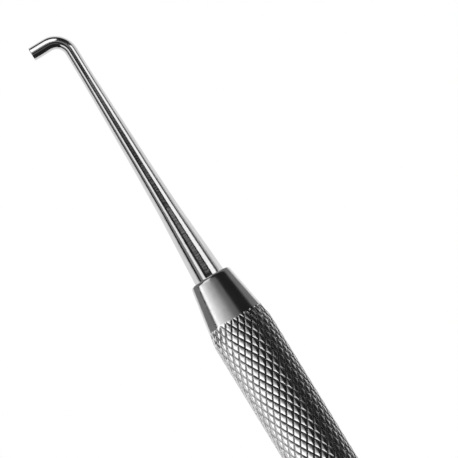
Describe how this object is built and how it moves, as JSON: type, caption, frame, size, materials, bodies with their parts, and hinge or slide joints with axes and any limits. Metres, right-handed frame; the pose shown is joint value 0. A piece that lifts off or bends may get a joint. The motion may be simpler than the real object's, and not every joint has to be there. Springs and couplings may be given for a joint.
{
  "type": "dental hand instrument",
  "caption": "Double-ended dental hand instrument: diamond-knurled hollow handle, right-angled round pusher nib at one end and a curved sickle scaler at the other.",
  "frame": {"origin": "middle of the handle's lowest line, where the instrument rests on a tray", "axes": "+X along the handle from the pusher end to the scaler end, -Z down onto the tray, -Y the way the pusher nib points"},
  "size_m": [0.1693, 0.0084, 0.0079],
  "materials": {
    "knurled_steel": "bright stainless steel, pressed diamond knurl",
    "ferrule_steel": "turned and polished stainless steel, fine turning lines",
    "polished_steel": "ground and buffed stainless steel, near mirror"
  },
  "bodies": {
    "root": {"handle_tube": "knurled_steel", "pusher_ferrule": "ferrule_steel", "scaler_ferrule": "ferrule_steel", "pusher_end": "polished_steel", "scaler_end": "polished_steel"}
  },
  "joints": []
}
